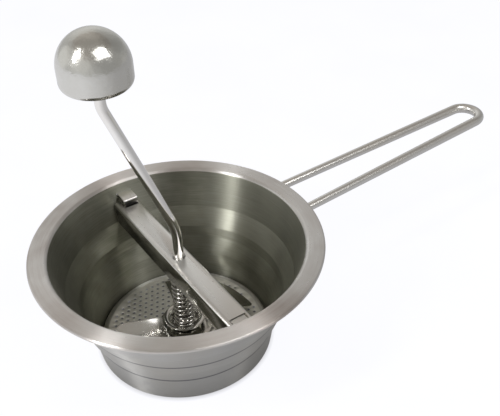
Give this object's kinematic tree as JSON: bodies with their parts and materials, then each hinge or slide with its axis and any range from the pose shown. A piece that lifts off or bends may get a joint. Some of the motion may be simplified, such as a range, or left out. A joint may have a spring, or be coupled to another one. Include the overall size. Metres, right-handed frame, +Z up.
{
  "type": "potato ricer",
  "caption": "Rotary potato ricer: a stepped steel bowl on a wire handle, with a hand crank that turns a sprung blade over a perforated disc.",
  "frame": {"origin": "centre of the bowl's foot ring, on the floor, on the axis of the shaft", "axes": "+Z up along the shaft, +X towards the end of the handle, Y along the bridge"},
  "size_m": [0.4348, 0.22, 0.263],
  "materials": {
    "bowl_steel": "satin pressed stainless steel",
    "disc_steel": "satin perforated stainless steel",
    "handle_wire": "polished stainless steel wire",
    "bridge_steel": "satin stainless steel",
    "polished_steel": "mirror-polished stainless steel",
    "spring_steel": "bright spring wire",
    "fitting_steel": "plain steel",
    "black_nylon": "moulded nylon"
  },
  "bodies": {
    "bowl": {"bowl": "bowl_steel", "disc": "disc_steel", "handle_loop": "handle_wire"},
    "bridge": {"bridge_bar": "bridge_steel", "bar_bush": "fitting_steel", "spring_washer": "fitting_steel"},
    "seat": {"spring": "spring_steel", "spring_cup": "polished_steel"},
    "crank": {"crank_rod": "polished_steel", "blade": "polished_steel", "foot_nut": "fitting_steel", "thrust_washer": "fitting_steel", "knob_clip": "fitting_steel", "knob_washer": "fitting_steel"},
    "knob": {"knob_shell": "polished_steel", "knob_base": "bridge_steel", "knob_bush": "black_nylon"}
  },
  "joints": [
    {"name": "bridge_slide", "type": "slide", "parent": "bowl", "child": "bridge", "axis": [0, -1, 0], "range_m": [0, 0.0045]},
    {"name": "blade_lift", "type": "slide", "parent": "bridge", "child": "seat", "axis": [0, 0, 1], "range_m": [0, 0.006], "stiffness_N_per_m": 1500, "springref_m": -0.01, "deforming": ["spring"]},
    {"name": "crank_turn", "type": "hinge", "parent": "seat", "child": "crank", "pos_m": [0, 0, 0.05], "axis": [0, 0, 1], "continuous": true},
    {"name": "knob_spin", "type": "hinge", "parent": "crank", "child": "knob", "pos_m": [-0.03399, 0.02293, 0.24], "axis": [0, 0, 1], "continuous": true}
  ]
}
